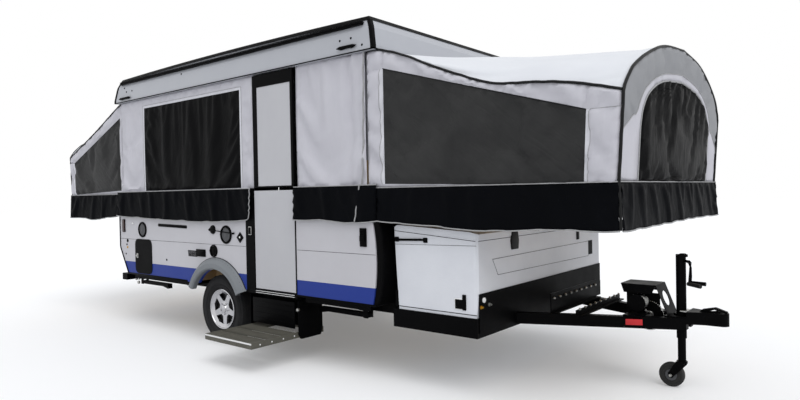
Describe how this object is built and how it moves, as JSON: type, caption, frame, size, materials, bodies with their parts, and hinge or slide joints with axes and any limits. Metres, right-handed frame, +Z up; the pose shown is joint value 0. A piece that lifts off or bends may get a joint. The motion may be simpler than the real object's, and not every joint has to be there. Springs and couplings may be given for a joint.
{
  "type": "folding camper trailer",
  "caption": "Folding camper trailer standing on its jack and wheels, roof raised, slide-out beds under fabric tents, storage box and winch on an A-frame tongue.",
  "frame": {"origin": "seat of the hitch socket, where the top of the tow ball rests", "axes": "+X forward along the tongue, +Y to the trailer's left, +Z up"},
  "size_m": [6.867, 2.6553, 2.6175],
  "materials": {
    "roof_shell": "satin",
    "siding": "satin",
    "steel_black": "satin",
    "trim_black": "matte",
    "canvas_grey": "matte",
    "canvas_black": "matte",
    "box_white": "textured",
    "fender_grey": "satin",
    "tyre": "matte",
    "caster_rubber": "matte",
    "alloy": "polished",
    "board": "matte",
    "tread_grey": "textured"
  },
  "bodies": {
    "trailer": {"chassis": "steel_black", "coupler": "steel_black", "axle": "steel_black", "wall_right_rear": "siding", "wall_right_front": "siding", "wall_left": "siding", "wall_front": "trim_black", "wall_rear": "siding", "floor": "board", "door_jamb": "trim_black", "fender_right": "fender_grey", "fender_left": "fender_grey", "tent_right_rear": "canvas_grey", "tent_right_front": "canvas_grey", "tent_left": "canvas_grey", "skirt_right_rear": "canvas_black", "skirt_right_front": "canvas_black", "skirt_left": "canvas_black", "storage_box": "box_white", "kick_panel": "trim_black", "jack_tube": "steel_black", "jack_leg": "steel_black", "step_hanger": "steel_black", "winch": "steel_black", "winch_guard": "steel_black"},
    "roof_body": {"roof": "roof_shell", "awning_rail": "trim_black"},
    "front_bed": {"bed_front": "board", "bed_skirt_front": "canvas_black", "bed_tent_front": "canvas_grey"},
    "rear_bed": {"bed_rear": "board", "bed_skirt_rear": "canvas_black", "bed_tent_rear": "canvas_grey"},
    "upper_door": {"door_upper_frame": "trim_black", "door_upper_panel": "siding"},
    "lower_door": {"door_lower": "siding"},
    "hatch_door": {"hatch": "trim_black"},
    "box_lid": {"storage_lid": "box_white"},
    "wheel_right": {"tyre_right": "tyre", "rim_right": "alloy"},
    "wheel_left": {"tyre_left": "tyre", "rim_left": "alloy"},
    "caster": {"caster_fork": "steel_black"},
    "caster_roller": {"caster_wheel": "caster_rubber"},
    "step": {"step_tray": "tread_grey"},
    "leg_rear_right": {"stabiliser_rear_right": "steel_black"},
    "leg_rear_left": {"stabiliser_rear_left": "steel_black"},
    "leg_front_right": {"stabiliser_front_right": "steel_black"},
    "leg_front_left": {"stabiliser_front_left": "steel_black"}
  },
  "joints": [
    {"name": "roof_lift", "type": "slide", "parent": "trailer", "child": "roof_body", "axis": [0, 0, 1], "range_m": [-0.925, 0], "deforming": ["tent_right_rear", "tent_right_front", "tent_left"]},
    {"name": "front_bed_slide", "type": "slide", "parent": "trailer", "child": "front_bed", "axis": [1, 0, 0], "range_m": [-1.66, 0], "deforming": ["bed_tent_front", "bed_skirt_front"]},
    {"name": "rear_bed_slide", "type": "slide", "parent": "trailer", "child": "rear_bed", "axis": [-1, 0, 0], "range_m": [-1.19, 0], "deforming": ["bed_tent_rear", "bed_skirt_rear"]},
    {"name": "upper_door_stow", "type": "hinge", "parent": "roof_body", "child": "upper_door", "pos_m": [-3, -1.0443, 1.825], "axis": [-1, 0, 0], "range_deg": [-100, 0]},
    {"name": "lower_door_hinge", "type": "hinge", "parent": "trailer", "child": "lower_door", "pos_m": [-2.755, -1.088, 0.045], "axis": [0, 0, 1], "range_deg": [0, 110]},
    {"name": "hatch_hinge", "type": "hinge", "parent": "trailer", "child": "hatch_door", "pos_m": [-4.896, -1.082, 0.055], "axis": [0, 0, 1], "range_deg": [0, 100]},
    {"name": "box_lid_hinge", "type": "hinge", "parent": "trailer", "child": "box_lid", "pos_m": [-1.819, 0, 0.561], "axis": [0, -1, 0], "range_deg": [0, 7.5]},
    {"name": "step_slide", "type": "slide", "parent": "trailer", "child": "step", "axis": [0, -1, 0], "range_m": [-0.42, 0]},
    {"name": "caster_swivel", "type": "hinge", "parent": "trailer", "child": "caster", "pos_m": [-0.21, 0, -0.322], "axis": [0, 0, 1], "continuous": true},
    {"name": "caster_spin", "type": "hinge", "parent": "caster", "child": "caster_roller", "pos_m": [-0.274, 0, -0.42], "axis": [0, 1, 0], "continuous": true},
    {"name": "wheel_spin_right", "type": "hinge", "parent": "trailer", "child": "wheel_right", "pos_m": [-3.8, -0.965, -0.195], "axis": [0, 1, 0], "continuous": true},
    {"name": "wheel_spin_left", "type": "hinge", "parent": "trailer", "child": "wheel_left", "pos_m": [-3.8, 0.965, -0.195], "axis": [0, 1, 0], "continuous": true},
    {"name": "leg_rear_right_fold", "type": "hinge", "parent": "trailer", "child": "leg_rear_right", "pos_m": [-5.42, -0.88, -0.095], "axis": [0, 1, 0], "range_deg": [0, 48]},
    {"name": "leg_rear_left_fold", "type": "hinge", "parent": "trailer", "child": "leg_rear_left", "pos_m": [-5.42, 0.88, -0.095], "axis": [0, 1, 0], "range_deg": [0, 48]},
    {"name": "leg_front_right_fold", "type": "hinge", "parent": "trailer", "child": "leg_front_right", "pos_m": [-2.18, -0.88, -0.095], "axis": [0, -1, 0], "range_deg": [0, 48]},
    {"name": "leg_front_left_fold", "type": "hinge", "parent": "trailer", "child": "leg_front_left", "pos_m": [-2.18, 0.88, -0.095], "axis": [0, -1, 0], "range_deg": [0, 48]}
  ],
  "couplings": [
    {"joint": "front_bed_slide", "follows": "roof_lift", "ratio": 1.7945},
    {"joint": "rear_bed_slide", "follows": "roof_lift", "ratio": 1.2864},
    {"joint": "upper_door_stow", "follows": "roof_lift", "rad_per_m": 1.8867}
  ]
}
